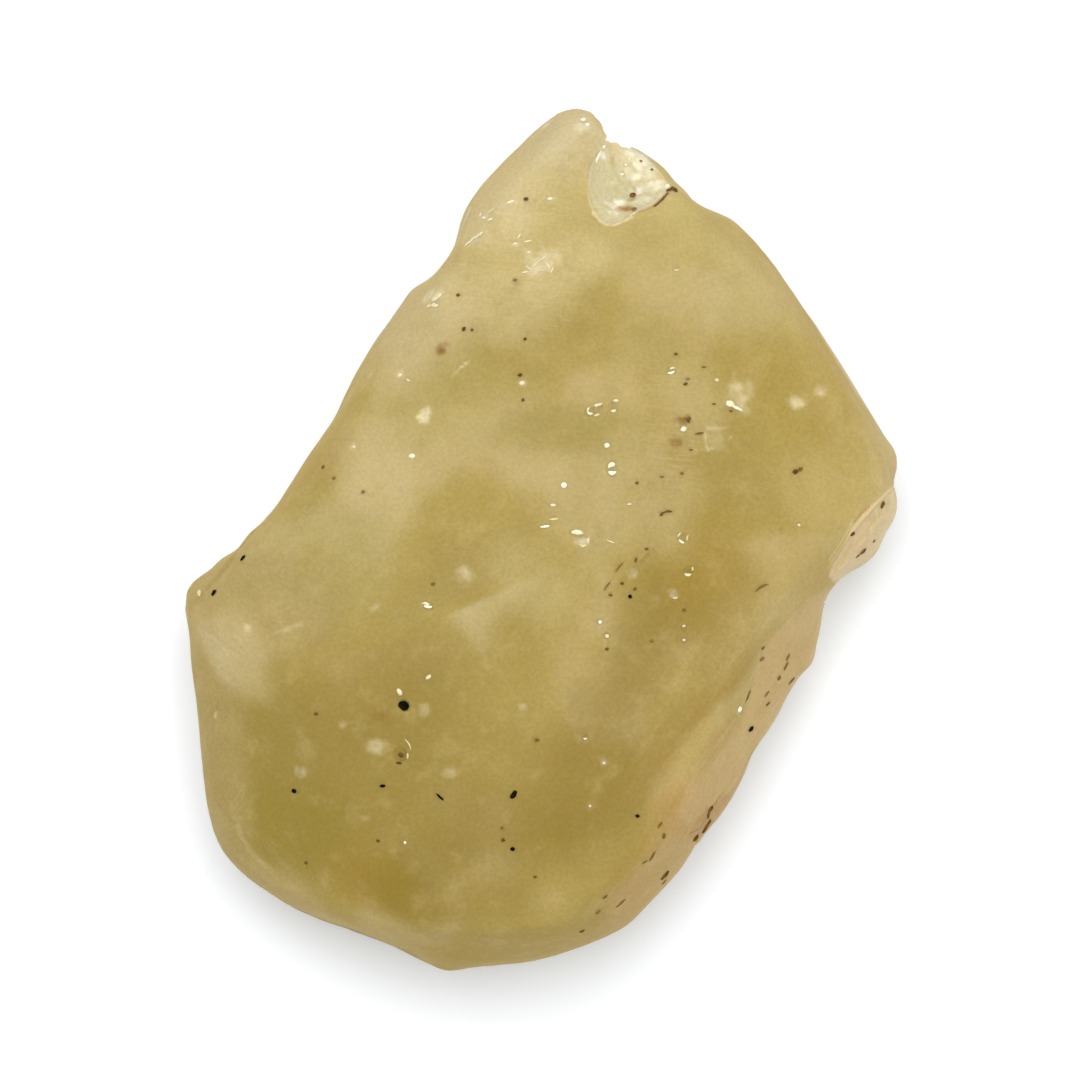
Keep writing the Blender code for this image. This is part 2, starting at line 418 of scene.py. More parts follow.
def aimAround(stone, chance):
    # a place and normal on the skin in any direction
    while True:
        direction = Vector([chance.gauss(0, 1) for _ in range(3)]).normalized()
        hit, place, normal, _ = stone.ray_cast(heart, direction)
        if hit:
            return place, normal


def scatter(stone, name):
    count, (smallest, largest), last, seed = unseenMarks[name]
    chance = random.Random(seed)
    settled = []
    while len(settled) < count:
        place, normal = aimAround(stone, chance)
        half = (smallest + (largest - smallest) * chance.random() ** 2) * mm
        width, turn = half * chance.uniform(0.5, 1), chance.uniform(0, 180)
        if normal.z < 0.25 and place.z < 4.8 * mm:
            settled.append((place, normal, half, width, turn, last))
    return settled


def wearSides(stone, points):
    chance = random.Random(sideScoops["seed"])
    for _ in range(sideScoops["count"]):
        place, normal = aimAround(stone, chance)
        while place.z > sideScoops["top"] * mm:
            place, normal = aimAround(stone, chance)
        radius = chance.uniform(*sideScoops["radius"]) * mm
        narrow = chance.uniform(0.45, 1)
        depth = sideScoops["depth"] * radius * chance.uniform(0.5, 1)
        edge = 1.0 if chance.random() < sideScoops["sharpShare"] else 2.0
        turned = facing(normal, chance.uniform(0, 180)).transposed()
        for co, index, _ in points.find_range(place, radius):
            offset = turned @ (co - place)
            share = math.hypot(offset.x, offset.y / narrow) / radius * (1 + 0.3 * noise.noise(co / (1.1 * mm)))
            # the widest outline and the resting face are left as they are
            keep = min(1, (sideScoops["top"] * mm - co.z) / (1.2 * mm), co.z / (0.7 * mm))
            if share < 1 and keep > 0:
                stone.data.vertices[index].co -= normal * depth * (1 - share ** 2) ** edge * keep


def around(points, mark, reach=1.0):
    # vertices near a settled mark, each with its distance from the middle in shares of the mark's own size
    place, normal, halfLength, halfWidth, turn, _ = mark
    turned = facing(normal, turn).transposed()
    for co, index, _ in points.find_range(place, max(halfLength, halfWidth) * reach):
        offset = turned @ (co - place)
        share = math.hypot(offset.x / halfLength, offset.y / halfWidth)
        if share < reach:
            yield index, share, normal


# Marks as read off the photograph: column, row, length and width in pixels, turn in degrees
bubblePits = [
    (590, 412, 13, 11, 40), (598, 409, 13, 10, 20), (614, 407, 10, 12, 30), (671, 371, 12, 9, 10),
    (612, 469, 13, 17, 0), (577, 535, 16, 8, 165), (583, 541, 13, 11, 0), (683, 538, 11, 11, 0),
    (688, 571, 11, 10, 0), (674, 594, 11, 11, 0), (428, 607, 13, 8, -10), (688, 419, 10, 12, 0),
    (676, 268, 9, 8, 0), (585, 737, 9, 9, 0), (487, 217, 12, 8, 30), (684, 628, 8, 8, 0),
    (684, 641, 8, 8, 0), (600, 622, 9, 8, 0), (607, 636, 9, 9, 0), (400, 755, 15, 18, 0),
    (404, 706, 15, 13, -50), (545, 526, 12, 5, 10), (424, 415, 14, 11, 20), (632, 195, 9, 8, 0),
    (782, 530, 7, 7, 0), (480, 233, 7, 7, 0), (547, 199, 7, 7, 0), (412, 456, 7, 6, 0),
]
paleClouds = [
    (487, 215.5, 20, 9, -12, 0.45), (473, 240, 20, 8, 22, 0.5), (512, 202, 16, 7, 5, 0.4), (549, 199, 16, 7, 0, 0.4),
    (515, 244.5, 18, 6, 12, 0.35),
    (741, 394, 34, 42, 0, 0.45), (730, 404, 12, 9, -20, 0.5), (376, 747, 25, 18, -30, 0.4), (449, 773, 20, 15, 0, 0.3),
    (343, 725, 12, 12, 0, 0.3), (425, 708, 16, 16, 0, 0.25), (302, 773, 18, 18, 0, 0.3),
    (465, 573, 20, 20, 0, 0.4), (375, 607, 18, 9, 20, 0.4), (290, 628, 34, 8, 15, 0.4),
    (248, 628, 9, 9, 0, 0.5), (424, 415, 17, 14, 10, 0.85), (428, 296, 24, 18, 0, 0.45), (412, 456, 9, 6, 0, 0.4), (437, 295, 22, 16, 0, 0.4),
    (540, 262, 46, 30, 20, 0.45), (536, 266, 26, 14, 30, 0.6), (549, 265, 14, 20, -30, 0.5), (463, 366, 20, 4, 32, 0.5), (456, 373, 12, 4, 30, 0.45), (522, 383, 12, 10, 0, 0.4),
    (798, 403, 17, 16, 0, 0.6), (822, 391, 18, 14, 20, 0.45), (590, 806, 10, 10, 0, 0.18),
    (740, 710, 12, 10, 0, 0.3), (400, 375, 14, 12, 0, 0.3), (370, 375, 12, 12, 0, 0.3),
    (353, 447, 12, 10, 0, 0.3), (522, 707, 10, 8, 0, 0.3), (633, 574, 14, 10, 50, 0.3),
    (583, 541, 15, 13, 0, 0.6), (674, 594, 11, 11, 0, 0.45), (604, 763, 9, 9, 0, 0.28),
    (199.5, 593, 5, 7, 0, 0.4), (206, 593, 4, 6, 0, 0.3), (740, 714, 6, 14, 0, 0.3),
    (215, 715, 14, 5, 40, 0.4), (546, 125, 20, 14, 30, 0.3), (580, 128, 18, 16, 0, 0.5),
    (715, 428.5, 30, 4, 8, 0.5), (705.3, 436, 18, 4, 90, 0.45), (707, 447, 14, 4, -60, 0.45), (713, 448, 9, 4, 30, 0.4),
    (715, 437, 30, 26, 0, 0.2), (730.6, 437.3, 6, 5, 0, 0.45), (365, 818, 12, 10, 0, 0.2),
]
brownStains = [
    (440, 350, 12, 16, 10, 1.0), (446, 344, 9, 7, 0, 0.6), (677, 443, 15, 12, 0, 1.0), (382, 716, 34, 20, 10, 0.3),
    (401, 757, 14, 14, 0, 0.35), (682, 420, 18, 11, 0, 0.8), (704, 822, 26, 18, 40, 0.35),
    (699, 434, 14, 6, 0, 0.4), (523, 400, 8, 8, 0, 0.3), (642, 574, 44, 14, 50, 0.15),
    (846, 412, 16, 34, 20, 0.18), (861, 439, 4, 12, 0, 0.2), (663, 876, 12, 9, 0, 0.4), (516, 283, 12, 8, 0, 0.3), (535, 741, 12, 10, 0, 0.25),
]
# Soft white and brown patches inside the chip; the white ones are partly the fractures' own whiteness and partly
# painted reflection off the fresh facets
chipPatches = [
    (637, 176.5, 16, 12, 10, 0.85), (641, 188, 18, 13, 15, 0.85), (641.5, 164, 24, 18, -30, 0.7), (629.5, 153.5, 18, 12, -10, 0.6),
    (653, 186, 34, 18, -10, 0.6), (646, 174, 22, 18, 0, 0.6), (619, 203, 14, 14, 20, 0.9), (611, 206, 20, 12, -20, 0.6),
    (612, 213, 20, 11, -12, 0.6), (645, 200, 28, 14, 15, 0.35), (603, 156, 10, 18, 30, 0.6), (636, 183, 8, 14, 10, 0.6),
    (667, 186.5, 10, 8, 0, 0.8), (613, 183, 12, 8, 0, 0.4), (649, 170, 16, 14, 0, 0.5),
    (638.5, 192, 14, 9, 20, 0.6),
]
chipStains = [(627, 209.3, 20, 15, 5, 1.0), (632.7, 210, 8, 8, 0, 0.6), (611.5, 156, 8, 30, 12, 0.35), (635, 190, 5, 12, 15, 0.4)]
# Lines painted along edges: the points of each in pixels, width in pixels, colour, strength
paintedLines = {
    # the pale chip rim, heel and lip lines are partly the broken edge's own whiteness and partly a painted highlight
    # along the edge
    "chip rim": ([(603, 147), (597, 155), (592, 165), (589, 176), (588, 190), (590, 203), (594, 213)], 2.6, (234, 218, 172), 0.5),
    "chip heel": ([(594, 213), (599, 219), (604, 223), (610, 225), (617, 223.5), (624, 220.5), (631, 216.5)], 4.2, (236, 218, 172), 0.6),
    "chip lip": ([(630, 215), (640, 210), (650, 205.5), (657, 199.5), (664, 191.5)], 2.2, (252, 240, 204), 0.8),
    "chip crack": ([(655, 206), (661, 200.5), (667.5, 193)], 3.4, (104, 64, 22), 0.95),
    "chip back": ([(616, 147), (630, 150), (643, 157), (654, 167), (663, 180)], 5, (206, 178, 140), 0.5),
    "chip crack end": ([(636, 213), (646, 210.5), (654, 206.5)], 1.8, (164, 126, 72), 0.5),
    "pool streak": ([(238, 828), (246, 845), (256, 858), (270, 870)], 8, (204, 184, 132), 0.3),
    "upper left rim": ([(188, 588), (219, 560), (255, 530), (278, 500), (298, 470), (316, 440), (335, 410)], 2.6, (150, 132, 84), 0.6),
    "horn strip": ([(470, 209), (465, 220), (461, 231), (458, 242)], 6, (230, 218, 186), 0.35),
    # painted shade in the lobe's crease
    "lobe crease": ([(869, 506), (861, 514), (854, 523)], 2.6, (160, 122, 70), 0.5),
    # painted highlight along the lobe's ridge
    "lobe ridge": ([(852, 522), (846, 534), (838, 547), (829, 560)], 3.0, (224, 204, 150), 0.5),
    "upper right ridge": ([(802, 313), (815, 334), (828, 355), (842, 380), (854, 400), (864, 418)], 2.4, (166, 138, 78), 0.3),
    "band ridge": ([(748, 690), (738, 716), (718, 744), (698, 770), (686, 792)], 5.0, (208, 188, 136), 0.25),
    "band crack": ([(717, 819), (708, 824), (697, 830), (690, 833)], 2.2, (126, 92, 46), 0.35),
}
# Bands along the edges: thinner, rosier glass, partly made paler as painted light through and off the thin edges, and
# along the bottom left a painted contact shadow: outline in pixels, how many pixels its edge fades over, colour,
# strength
edgeBandsAndPaintedLight = {
    "right band": ([
        (806, 598), (786, 618), (768, 634), (756, 650), (750, 668), (747, 690), (740, 710), (720, 744), (702, 768),
        (688, 788), (672, 814), (700, 850), (750, 790), (800, 710), (830, 650), (840, 600), (828, 584),
    ], 7, (207, 174, 118), 0.75),
    "band foot": ([(700, 780), (652, 826), (622, 862), (590, 896), (600, 960), (700, 900), (760, 800)], 26, (198, 162, 104), 0.7),
    "brown rim": ([
        (757, 741), (748, 752), (742, 764), (736, 778), (728, 791), (716, 801), (704, 808), (694, 820), (684, 836),
        (700, 850), (724, 826), (744, 796), (760, 766), (770, 744),
    ], 3, (184, 144, 92), 0.6),
    # painted contact shadow: a dark brown edge where the stone meets the floor at the bottom left
    "bottom left edge": ([
        (236, 867), (260, 882), (281, 899), (312, 915), (355, 927), (386, 938), (413, 949), (430, 961), (400, 1000),
        (250, 940), (210, 880),
    ], 3, (112, 80, 26), 0.6),
    "pool rim": ([
        (248, 690), (243, 740), (243, 790), (248, 830), (258, 862), (280, 890), (314, 909), (352, 926), (390, 940),
        (425, 946), (440, 990), (300, 990), (180, 880), (170, 690),
    ], 16, (176, 152, 90), 0.45),
    "upper right rim": ([
        (801, 307), (817, 335), (830, 355), (844, 379), (856, 399), (868, 417), (900, 424), (904, 380), (864, 318),
        (824, 288),
    ], 2.5, (216, 188, 146), 0.55),
    "lobe": ([
        (895, 483), (884, 492), (872, 503), (862, 513), (852, 526), (846, 538), (839, 550), (832, 561), (827, 571),
        (826, 580), (838, 592), (880, 590), (915, 540), (915, 480),
    ], 4, (234, 205, 154), 0.87),
}
blackGrains = [
    (404, 706, 12, 10, -50), (513.5, 795, 9.5, 4.8, 55), (294, 791, 5, 4.2, 0), (214, 593, 4.6, 4, 0),
    (382.5, 786, 5.6, 3.4, 5), (512.7, 849, 4.6, 4.4, 0), (751, 729, 5, 4, 0), (637.5, 816, 4.2, 3.6, 0),
    (630, 596.5, 4.2, 3.8, 0), (696, 838, 4.6, 3.4, 40),
    (243, 558, 4.2, 3.2, 20), (440, 797, 10, 2.2, -42),
]
umberGrains = [
    (882.3, 504.6, 4, 4.4, -30), (852.5, 534, 4.6, 3.8, 0), (863, 551.5, 4.6, 3.2, 50), (795.3, 471.8, 6.4, 4.6, 30),
    (525, 339, 3.4, 2.8, 30), (520, 375, 4.2, 3.6, 0), (523, 400, 3.6, 3, 60), (526, 199, 4.4, 3.8, 0),
    (685.5, 384, 4.8, 2.6, 20), (676, 354, 3.8, 2.8, 0), (637, 483, 3.4, 3, 0), (622, 583.5, 3.8, 2.6, -10),
    (635, 589, 4, 2.8, 30), (610.5, 595, 4.2, 2.8, -10), (607, 649, 4, 3, 0), (458, 295, 3.8, 3, 0),
    (464, 329, 4.8, 3.4, 60), (472, 330, 3.2, 2.8, 0), (323, 467, 3.2, 2.8, 30), (632.8, 195, 5.6, 5.2, 0),
    (674, 189.5, 4.8, 4.2, 0), (378, 841, 4.2, 2.8, -20), (665, 875, 7, 3.6, 35), (582, 931, 3.4, 2.4, 0),
    (306, 863, 3.8, 2.8, 0), (535, 877, 3.4, 2.4, 0), (669, 190, 4.4, 3.4, 0), (401, 755, 5.6, 4.4, -40),
    (399, 763, 7.5, 2.4, -12), (688, 419.5, 7, 4.4, 70, 0.5), (503, 840, 3.8, 3.2, 0),
    (316, 714, 4, 3, 0), (664, 882, 7, 2.4, 30), (537, 740, 4.2, 3.2, 0),
    (661.8, 514, 5, 2.8, 50), (667.5, 511.3, 11, 2, 8, 0.3), (646.7, 549, 4, 2.4, 0), (708.3, 814, 10, 4.6, 76), (706.2, 826.5, 10, 3.6, 84), (710.5, 808.5, 5, 4, 30), (695.5, 838, 5, 4.2, 0),
]
brownGrains = [
    (502, 828, 3.4, 2.6, 0), (703.8, 367, 5.4, 1.8, 5), (662, 477, 4, 2.2, 0), (682, 473.6, 4.4, 2.6, 0),
    (636, 560, 5, 2.4, 70), (515, 280, 4, 3, 0), (334, 478, 4, 3.2, 0), (634, 209, 4.4, 3.6, 70), (761, 587, 16, 2, 30, 0.2),
    (363, 492, 4, 3, 0), (607, 586, 15, 1.6, 55, 0.12), (619, 567, 12, 1.5, 50, 0.1), (800.2, 469.4, 5.6, 3.8, 30),
    (788, 657, 5, 2.2, 80), (621, 903, 8, 2, 40), (858, 556, 3.6, 1.8, 10), (874, 541, 2.4, 2, 0),
    (786, 666, 7, 2.2, 72), (688, 379, 4.4, 1.8, 0), (699, 433.5, 9, 2, 10), (691, 450, 4.4, 2, 0),
    (714, 404, 4.4, 1.8, 0), (731, 411, 4.4, 2, 0), (748, 696, 8, 2.2, 62), (767, 694, 5.5, 2, 20), (768, 704, 5, 1.8, 10),
    (652.5, 856, 8, 2.2, 85), (645, 862, 4.6, 2, 0), (664, 836, 5, 3, -60), (660, 825, 7, 2, 55), (605, 897, 4.4, 2.4, 30), (598, 912, 3.6, 3, 0), (779, 678, 3.8, 3, 0),
    (762, 659, 4.2, 3.2, 0), (763, 648, 3.4, 2.4, 0), (791.5, 681, 7, 2.2, -5), (710, 808.5, 4.6, 2.6, 10), (684, 610, 3.8, 3.2, 0),
    (641, 161, 3.2, 2.2, 0), (652, 169.5, 3, 2.6, 0), (433, 584, 4, 3, 0), (652, 641, 4, 3, 0),
]
# Bright lumps for painted highlights: glints on bubble rims, pits and chip facets
paleGlints = [
    
    (405, 842.7, 3.2, 2.6, -60), (412, 456, 7.5, 5, 0), (510.5, 201.7, 7, 2.2, 15), (549.5, 198.5, 6, 3, 0), (671, 373, 9, 2.6, 15, -0.3), 
    (597.4, 405, 9.5, 3, 15), (589.7, 413.5, 8, 3, -20, -0.5), (588, 409, 6, 2.4, 60, 0.4), 
    (683.6, 429, 6.5, 5, 30), (607, 445.4, 6, 5.4, 0),
    (611.6, 464.5, 9, 5.5, 20, 0.3), (612, 473, 12.5, 4, 0, -0.35), (564, 485.2, 6.5, 6.5, 0),
    (553, 505, 5.5, 3, 0), (545.4, 526.4, 11, 3, 8),
    (576.7, 532.2, 14.5, 5, -5, 0.15), 
    (681.6, 542, 9, 2.6, -25, -0.45), 
    (687.7, 575, 10.5, 2.8, 0, -0.4), 
    (428, 607, 12, 3, -10, -0.3), (426, 603.5, 9, 2.4, -10, 0.3), (730, 403.6, 9, 6, -20),
    (737, 408, 12, 3, -25), (583.3, 119.5, 4.5, 3.6, 0), (587.3, 124.5, 4, 4, 0), (604, 147, 4, 3.4, 60),
    (598, 157.5, 13, 3.2, 60), (625.8, 164.7, 3, 2.2, 0), (622.2, 174.2, 3.8, 2.2, 10), (629, 158.5, 2.4, 1.8, 0),
    (490, 219.4, 6, 2, -8), (484, 217.6, 4, 2, -30), (481, 233.5, 5, 2.6, 20), (515, 243.5, 5, 2.2, 15), (528.8, 252, 3.6, 2, 0),
    (525, 272, 6, 1.8, 10), (436, 305.6, 5, 2.4, 10),
    (667.3, 186, 4.2, 3.8, 0), (739.7, 709.5, 4.6, 4.4, 0),
    
    (600, 622, 4, 4, 0), 
    
    
]
# Fainter painted highlights, and partly the pale crackle lines of the glass
faintGlints = [
    (399.6, 692.4, 8, 4.4, -65), (407.5, 756, 5, 2.2, 80), (615.8, 400.6, 5.5, 3, 0), (582.5, 546, 10, 3, 5, -0.4),
    (604, 763, 3.4, 3, 0),
    (428.4, 677, 6.5, 4, 35), (409, 744, 13, 1.3, -60, 0.25), (717, 380, 4.5, 3.5, 0),
    (596.6, 415, 6, 2.4, 30), (613.5, 411, 7.5, 3, 20, -0.3), (629.5, 504, 4.5, 3, 10), (553.8, 519, 9, 2, 5), (610.4, 541.4, 9, 1.6, -20),
    (687, 538, 6, 2.2, 80, 0.3), (679, 535, 6, 2.2, 50), (692.5, 569, 4.5, 2.2, 80),
    (588, 540, 7, 2.2, 80, 0.3), (675, 598, 8, 2.2, 0, -0.4), (672, 368, 7, 2.2, 15, 0.3),
     
    (799, 525, 3.4, 2.6, 0), (607, 636, 5, 4, 0), (684, 626, 4, 3, 0),
    (684, 640, 4, 3, 0), (585, 739, 5, 2.2, 0, -0.4), (590, 806, 2.8, 2.6, 0),
    (354, 447, 3.6, 3.2, 0), (429, 306, 4, 3, 0), (434, 305, 5, 3.6, 0), (676, 270, 7, 2, 0, -0.4),
    (541, 259.5, 12, 1.5, 38), (534.5, 264.5, 8, 1.4, 35), (547, 264, 14, 1.4, -52, 0.2), (528.5, 268, 8, 1.4, -35, -0.3),
    (540, 270, 10, 1.6, 10, 0.3), (552, 270, 7, 1.6, 60), (528, 241, 9, 1.8, 10), (522, 383, 6, 4, 0), (400, 375, 5, 3.4, 20), (408, 380, 5, 2, -30),
    (437, 297, 10, 4, 20), (433, 305, 5, 3, 0), (480.6, 214.6, 3.4, 2, -60), (491, 210.8, 6, 1.6, 18),
    (472, 240, 7, 2.4, 22), (467, 244, 5, 2, 22), (477, 236.5, 5, 1.8, 22),
    (519, 236, 6, 2, 60), (199.5, 593, 2.6, 5, 0),
]


def scarShare(co, sides):
    # 1 along a scar's sharp side, down to 0 at its far corner and past its edges
    eye = Vector((0, 0, cameraHeight))
    seen = eye + (co - eye) * (cameraHeight - photo["rimHeight"] * mm) / (cameraHeight - co.z)
    first, second, far = [fromPhoto(*side) for side in sides]
    along, away = second - first, far - first
    spot = seen - first
    area = along.x * away.y - along.y * away.x
    across = (along.x * spot.y - along.y * spot.x) / area
    lengthwise = (spot.x * away.y - spot.y * away.x) / area
    if across < 0 or lengthwise < 0 or across + lengthwise > 1:
        return 0.0
    width = 1 - across + 0.001
    ends = min(1, 5 * lengthwise / width) * min(1, 1.3 * (width - lengthwise) / width)
    return (1 - across) ** 0.6 * ends * min(1, across * 14 + 0.35)


def pressScars(stone, points):
    # how pale each point is painted, a painted highlight on the scar's face, is given back
    amounts = np.zeros(len(stone.data.vertices))
    for *sides, depth, pale in flakeScars.values():
        middle = skinBelow(stone, sum(side[0] for side in sides) / 3, sum(side[1] for side in sides) / 3)
        for co, index, _ in points.find_range(middle[0], 3.6 * mm):
            share = scarShare(co, sides) if co.z > 5 * mm else 0.0
            if share:
                stone.data.vertices[index].co -= middle[1] * share * depth * mm
                amounts[index] = max(amounts[index], share * pale)
    return amounts


def sinkPits(stone, points, pits):
    for pit in pits:
        depth = 0.35 * min(pit[2:4])
        for index, share, normal in list(around(points, pit)):
            stone.data.vertices[index].co -= normal * depth * (1 - share ** 2) ** 0.6


def spotShares(stone, points, spots):
    # how much each point of the skin takes of a group of soft, uneven spots
    amounts = np.zeros(len(stone.data.vertices))
    for spot in spots:
        for index, share, _ in around(points, spot, 1.4):
            co = stone.data.vertices[index].co
            share *= 1 + 0.5 * noise.noise(co / (0.5 * mm)) + 0.25 * noise.noise(co / (0.16 * mm))
            uneven = 0.8 + 0.8 * noise.noise(co / (0.3 * mm) + Vector((5, 0, 0)))
            amount = spot[5] * max(0, min(1, 1.6 * (1 - share))) * max(0.2, min(1, uneven))
            amounts[index] = max(amounts[index], amount)
    return amounts


def measureDepth(stone):
    # how much glass lies behind each point of the skin, in mm: thin edges let the white light through
    depths = []
    for vertex in stone.data.vertices:
        inward = -vertex.normal
        towards = (heart - vertex.co).normalized()
        total = 0.0
        for direction in (inward, (inward * 2 + towards).normalized(), towards):
            hit, place, _, _ = stone.ray_cast(vertex.co + direction * 0.02 * mm, direction)
            total += (place - vertex.co).length / mm if hit else 0.0
        depths.append(total / 3)
    depths = np.array(depths)
    first, second = np.array([edge.vertices[:] for edge in stone.data.edges]).T
    counts = 1 + np.bincount(first, minlength=len(depths)) + np.bincount(second, minlength=len(depths))
    for _ in range(6):
        sums = np.bincount(first, depths[second], len(depths)) + np.bincount(second, depths[first], len(depths))
        depths = (depths + sums) / counts
    return depths


def smoothly(value, low, high, top=1.0):
    share = np.clip((value - low) / (high - low), 0, 1)
    return share * share * (3 - 2 * share) * top


def tintOver(colours, share, tint):
    # lays a colour over the painted skin
    colours += share[:, None] * (np.array(fromSrgb(*tint)[:3]) - colours)


def slopes(stone):
    # the height of each point's normal: 1 on top, 0 on the flanks, below 0 underneath
    return np.array([vertex.normal.z for vertex in stone.data.vertices])


def zoneShare(skin, middle, reach, turn, strength):
    # how much a soft egg-shaped zone counts at each point
    offset = skin - np.array(fromPhoto(*middle, height=9.5) / mm)
    cosine, sine = math.cos(math.radians(turn)), math.sin(math.radians(turn))
    along = (offset[:, 0] * cosine + offset[:, 1] * sine) / (reach[0] * photo["mmPerPixel"])
    across = (offset[:, 1] * cosine - offset[:, 0] * sine) / (reach[1] * photo["mmPerPixel"])
    return smoothly(1 - np.sqrt(along ** 2 + across ** 2 + (offset[:, 2] / 15) ** 2), 0.0, 0.7, strength)


def paintGlass(stone, depths):
    # the broad colours of the glass, thick and thin, cloudy and clear, with painted light and shade laid in: paler thin
    # edges, a lighter top and darker bottom, darker flanks, painted highlight lines and a painted edge shadow
    skin = skinArray(stone)
    places = [Vector(place) for place in skin]
    warp = np.array([noise.noise_vector(place / 5) * 1.2 + noise.noise_vector(place / 2.2) * 0.4 for place in places])
    clouds = np.array([noise.fractal(place / 6, 1.0, 2.0, 3) for place in places])
    colours = np.tile(np.array(fromSrgb(206, 182, 130)[:3]), (len(skin), 1))
    # painted light through the glass: thin glass is painted paler, as if lit through, and thick glass darker olive
    tintOver(colours, smoothly(depths, 0.6, 5.0), (188, 166, 96))
    tintOver(colours, smoothly(depths, 8.0, 13.0, 0.3), (168, 145, 72))
    tintOver(colours, smoothly(clouds, 0.0, 0.4, 0.5), (170, 147, 78))
    tintOver(colours, smoothly(-clouds, 0.0, 0.4, 0.45), (214, 192, 142))
    # the zones lay in the glass's own tones and also painted light and shade, lighter on top and darker below
    for middle, reach, turn, tint, strength in glassTonesAndShading.values():
        tintOver(colours, zoneShare(skin + warp, middle, reach, turn, strength), tint)
    # painted shade: the flanks that turn away from the top are painted a little deeper and warmer
    tintOver(colours, smoothly(0.8 - np.abs(slopes(stone)), 0.0, 0.6, 0.45), (180, 142, 60))
    # the bands grow softer and fade out below the widest outline
    seen = smoothly(skin[:, 2] + clouds * 2.5, 3.4, 6.4)
    spots = pixelsOf(skin) + warp[:, :2] * (3 + 10 * (1 - seen))[:, None]
    # edge bands: thin-glass tint with painted light, and the painted contact shadow at the bottom left
    for outline, fade, tint, strength in edgeBandsAndPaintedLight.values():
        depth = depthInside(spots, outline) / (1 + 5 * (1 - seen))
        tintOver(colours, smoothly(depth, 0, fade, strength) * seen, tint)
    rough = np.array([noise.noise(place / 0.25) for place in places])
    for line, width, tint, strength in paintedLines.values():
        away = lineDistance(skin, lineOnSkin(stone, line)) / photo["mmPerPixel"] / width * 2 + 0.35 * rough
        tintOver(colours, smoothly(1.25 - away, 0, 0.5, strength), tint)
    return colours * glassCast


def paintStreaks(stone):
    # only on top: on the flanks they would stand upright
    skin, upwards = skinArray(stone), smoothly(slopes(stone), 0.1, 0.6)
    for name, (_, _, _, places) in glassStreaks.items():
        share = np.zeros(len(skin))
        for middle, reach, strength in places:
            share = np.maximum(share, zoneShare(skin, middle, reach, 0, strength))
        stone.data.attributes.new(name, "FLOAT", "POINT").data.foreach_set("value", share * upwards)


def sharpPlaces(stone):
    # places along every sharp side, where the skin needs its smallest faces
    sides = [scar[:2] for scar in flakeScars.values()]
    sides += [pair for line, _, _ in ledges.values() for pair in zip(line, line[1:])]
    sides += zip(freshChip["outline"], freshChip["outline"][1:] + freshChip["outline"][:1])
    sides += [pair for line, *_ in paintedLines.values() for pair in zip(line, line[1:])]
    sides += [pair for outline, fade, *_ in edgeBandsAndPaintedLight.values() if fade < 4 for pair in zip(outline, outline[1:])]
    places = [skinBelow(stone, *Vector(first).lerp(Vector(second), step / 10))[0]
              for first, second in sides for step in range(11)]
    return [place for place in places if place]


def makeStone():
    stone = makeSkin()
    wearSides(stone, skinPoints(stone))
    swellOutline(stone, skinPoints(stone))
    biteOutline(stone)
    print("bitten skin", len(stone.data.polygons), "faces")
    grains = settle(stone, umberGrains + brownGrains) + scatter(stone, "umber") + scatter(stone, "brown")
    halos = [(place, normal, length * 1.6, width * 1.6 + 0.05 * mm, turn, 0.3)
             for place, normal, length, width, turn, _ in grains]
    stains = halos + settle(stone, brownStains) + scatter(stone, "stain")
    clouds = settle(stone, paleClouds) + scatter(stone, "pale")
    pits = settle(stone, bubblePits) + scatter(stone, "pits")
    edges = sharpPlaces(stone)
    chip = [(skinBelow(stone, 628, 185)[0], 1.7 * mm)]
    refineAround(stone, [(spot[0], max(spot[2:4])) for spot in pits + clouds + stains] + chip
                 + [(place, 0.2 * mm) for place in edges])
    refineAround(stone, [(pit[0], max(pit[2:4])) for pit in pits] + chip + [(place, 0.1 * mm) for place in edges])
    points = skinPoints(stone)
    cutLedges(stone, points)
    fresh = sinkChip(stone)
    scars = pressScars(stone, points)
    sunk = skinPoints(stone)
    colours = paintGlass(stone, measureDepth(stone))
    tintOver(colours, fresh * 0.65, (220, 211, 174))
    tintOver(colours, spotShares(stone, points, stains), (142, 102, 48))
    # pale paint: a painted highlight on the flake scars, and the glass's own milky clouds
    tintOver(colours, np.maximum(scars, spotShares(stone, points, clouds)), (244, 232, 196))
    # white chip patches: partly fracture whiteness, partly painted reflection off the fresh facets
    tintOver(colours, spotShares(stone, sunk, settle(stone, chipPatches)), (255, 250, 228))
    tintOver(colours, spotShares(stone, sunk, settle(stone, chipStains)), (172, 130, 66))
    flat = np.column_stack((colours, np.ones(len(colours)))).ravel()
    stone.data.attributes.new("tint", "FLOAT_COLOR", "POINT").data.foreach_set("color", flat)
    paintStreaks(stone)
    sinkPits(stone, points, pits)
    selectOnly(stone)
    bpy.ops.object.shade_smooth_by_angle(angle=math.radians(stoneShape["creaseAngle"]))
    print("stone", len(stone.data.polygons), "faces")
    return stone


# Grains and glints set in the skin

